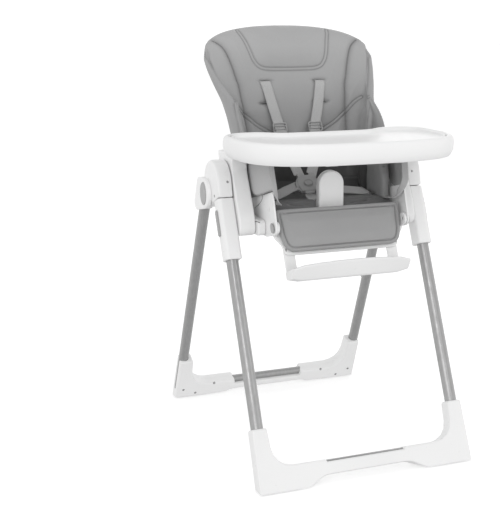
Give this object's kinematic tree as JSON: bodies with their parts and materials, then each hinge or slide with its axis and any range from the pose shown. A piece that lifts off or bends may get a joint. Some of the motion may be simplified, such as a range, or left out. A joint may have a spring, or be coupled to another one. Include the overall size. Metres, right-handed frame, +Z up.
{
  "type": "baby high chair",
  "caption": "Folding baby high chair with a padded reclining seat, five-point harness, leg rest, footrest and sliding tray on a height-adjustable A-frame.",
  "frame": {"origin": "on the floor, at the middle of the footprint's bounding box", "axes": "+Z up, the child faces -Y, +X is towards the child's left"},
  "size_m": [0.5854, 0.7721, 1.069],
  "materials": {
    "white_plastic": "semi-gloss moulded",
    "grey_tube": "satin painted",
    "grey_plastic": "fine matt",
    "grey_pad": "soft leatherette",
    "grey_webbing": "woven webbing",
    "dark_rubber": "matt",
    "zinc_steel": "zinc plated"
  },
  "bodies": {
    "front_frame": {"front_base_front_shell": "white_plastic", "front_base_rear_shell": "white_plastic", "front_cross_tube": "grey_tube", "front_leg_left": "grey_tube", "front_leg_right": "grey_tube", "front_sole_left": "dark_rubber", "front_sole_right": "dark_rubber", "hub_housing_left": "white_plastic", "hub_housing_right": "white_plastic", "pivot_pin_left": "zinc_steel", "pivot_pin_right": "zinc_steel"},
    "rear_frame": {"rear_base_front_shell": "white_plastic", "rear_base_rear_shell": "white_plastic", "rear_cross_tube": "grey_tube", "rear_leg_left": "grey_tube", "rear_leg_right": "grey_tube", "rear_sole_left": "dark_rubber", "rear_sole_right": "dark_rubber", "hub_cap_left": "white_plastic", "hub_cap_right": "white_plastic", "tray_hook_left": "grey_plastic", "tray_hook_right": "grey_plastic"},
    "seat": {"height_slider_left": "white_plastic", "height_slider_right": "white_plastic", "arm_casing_left": "white_plastic", "arm_casing_right": "white_plastic", "seat_tub": "white_plastic", "seat_rail_left": "white_plastic", "seat_rail_right": "white_plastic", "recline_pin_left": "zinc_steel", "recline_pin_right": "zinc_steel", "crotch_post": "white_plastic", "seat_cushion": "grey_pad", "side_pad_left": "grey_pad", "side_pad_right": "grey_pad", "buckle": "grey_plastic", "crotch_strap": "grey_webbing", "waist_strap_left": "grey_webbing", "waist_strap_right": "grey_webbing"},
    "backrest": {"backrest_shell": "white_plastic", "backrest_cushion": "grey_pad", "shoulder_strap_left": "grey_webbing", "shoulder_strap_right": "grey_webbing", "strap_adjuster_left": "grey_plastic", "strap_adjuster_right": "grey_plastic"},
    "leg_rest": {"calf_board": "white_plastic", "leg_rest_pad": "grey_pad"},
    "footrest_board": {"footrest": "white_plastic"},
    "tray_body": {"tray": "white_plastic"},
    "tray_insert_body": {"tray_insert": "white_plastic"},
    "recline_grip": {"recline_handle": "grey_plastic"},
    "buckle_press": {"buckle_button": "grey_plastic"},
    "fold_press_left": {"fold_button_left": "grey_plastic"},
    "height_lever_body_left": {"height_lever_left": "grey_plastic"},
    "leg_rest_press_left": {"leg_rest_button_left": "grey_plastic"},
    "tray_release_body_left": {"tray_release_left": "white_plastic"},
    "fold_press_right": {"fold_button_right": "grey_plastic"},
    "height_lever_body_right": {"height_lever_right": "grey_plastic"},
    "leg_rest_press_right": {"leg_rest_button_right": "grey_plastic"},
    "tray_release_body_right": {"tray_release_right": "white_plastic"}
  },
  "joints": [
    {"name": "rear_fold", "type": "hinge", "parent": "front_frame", "child": "rear_frame", "pos_m": [0, 0, 0.658], "axis": [-1, 0, 0], "range_deg": [0, 46]},
    {"name": "seat_height", "type": "slide", "parent": "front_frame", "child": "seat", "axis": [0, -0.4067, -0.9135], "range_m": [0, 0.24]},
    {"name": "backrest_recline", "type": "hinge", "parent": "seat", "child": "backrest", "pos_m": [0, 0.064, 0.595], "axis": [-1, 0, 0], "range_deg": [0, 35]},
    {"name": "recline_grip_slide", "type": "slide", "parent": "backrest", "child": "recline_grip", "axis": [0, 0.1914, 0.9815], "range_m": [0, 0.012], "stiffness_N_per_m": 600, "springref_m": -0.003},
    {"name": "leg_rest_tilt", "type": "hinge", "parent": "seat", "child": "leg_rest", "pos_m": [0, -0.203, 0.597], "axis": [-1, 0, 0], "range_deg": [0, 55]},
    {"name": "footrest_slide", "type": "slide", "parent": "leg_rest", "child": "footrest_board", "axis": [0, 0.4067, 0.9135], "range_m": [0, 0.034]},
    {"name": "tray_slide", "type": "slide", "parent": "seat", "child": "tray_body", "axis": [0, -1, 0], "range_m": [0, 0.1]},
    {"name": "tray_insert_lift", "type": "slide", "parent": "tray_body", "child": "tray_insert_body", "axis": [0, 0, 1], "range_m": [0, 0.06]},
    {"name": "buckle_press_slide", "type": "slide", "parent": "seat", "child": "buckle_press", "axis": [0, 0.788, -0.6157], "range_m": [0, 0.0015], "stiffness_N_per_m": 800, "springref_m": -0.001},
    {"name": "fold_press_slide_left", "type": "slide", "parent": "rear_frame", "child": "fold_press_left", "axis": [1, 0, 0], "range_m": [0, 0.004], "stiffness_N_per_m": 1200, "springref_m": -0.002},
    {"name": "height_lever_hinge_left", "type": "hinge", "parent": "seat", "child": "height_lever_body_left", "pos_m": [-0.2828, -0.08543, 0.62793], "axis": [0, 0.9135, -0.4067], "range_deg": [0, 12], "stiffness_Nm_per_rad": 0.6, "springref_deg": -2.86},
    {"name": "leg_rest_press_slide_left", "type": "slide", "parent": "seat", "child": "leg_rest_press_left", "axis": [1, 0, 0], "range_m": [0, 0.002], "stiffness_N_per_m": 1000, "springref_m": -0.001},
    {"name": "tray_release_slide_left", "type": "slide", "parent": "tray_body", "child": "tray_release_body_left", "axis": [0, -1, 0], "range_m": [0, 0.006], "stiffness_N_per_m": 600, "springref_m": -0.002},
    {"name": "fold_press_slide_right", "type": "slide", "parent": "rear_frame", "child": "fold_press_right", "axis": [-1, 0, 0], "range_m": [0, 0.004], "stiffness_N_per_m": 1200, "springref_m": -0.002},
    {"name": "height_lever_hinge_right", "type": "hinge", "parent": "seat", "child": "height_lever_body_right", "pos_m": [0.2828, -0.08543, 0.62793], "axis": [0, -0.9135, 0.4067], "range_deg": [0, 12], "stiffness_Nm_per_rad": 0.6, "springref_deg": -2.86},
    {"name": "leg_rest_press_slide_right", "type": "slide", "parent": "seat", "child": "leg_rest_press_right", "axis": [-1, 0, 0], "range_m": [0, 0.002], "stiffness_N_per_m": 1000, "springref_m": -0.001},
    {"name": "tray_release_slide_right", "type": "slide", "parent": "tray_body", "child": "tray_release_body_right", "axis": [0, -1, 0], "range_m": [0, 0.006], "stiffness_N_per_m": 600, "springref_m": -0.002}
  ]
}
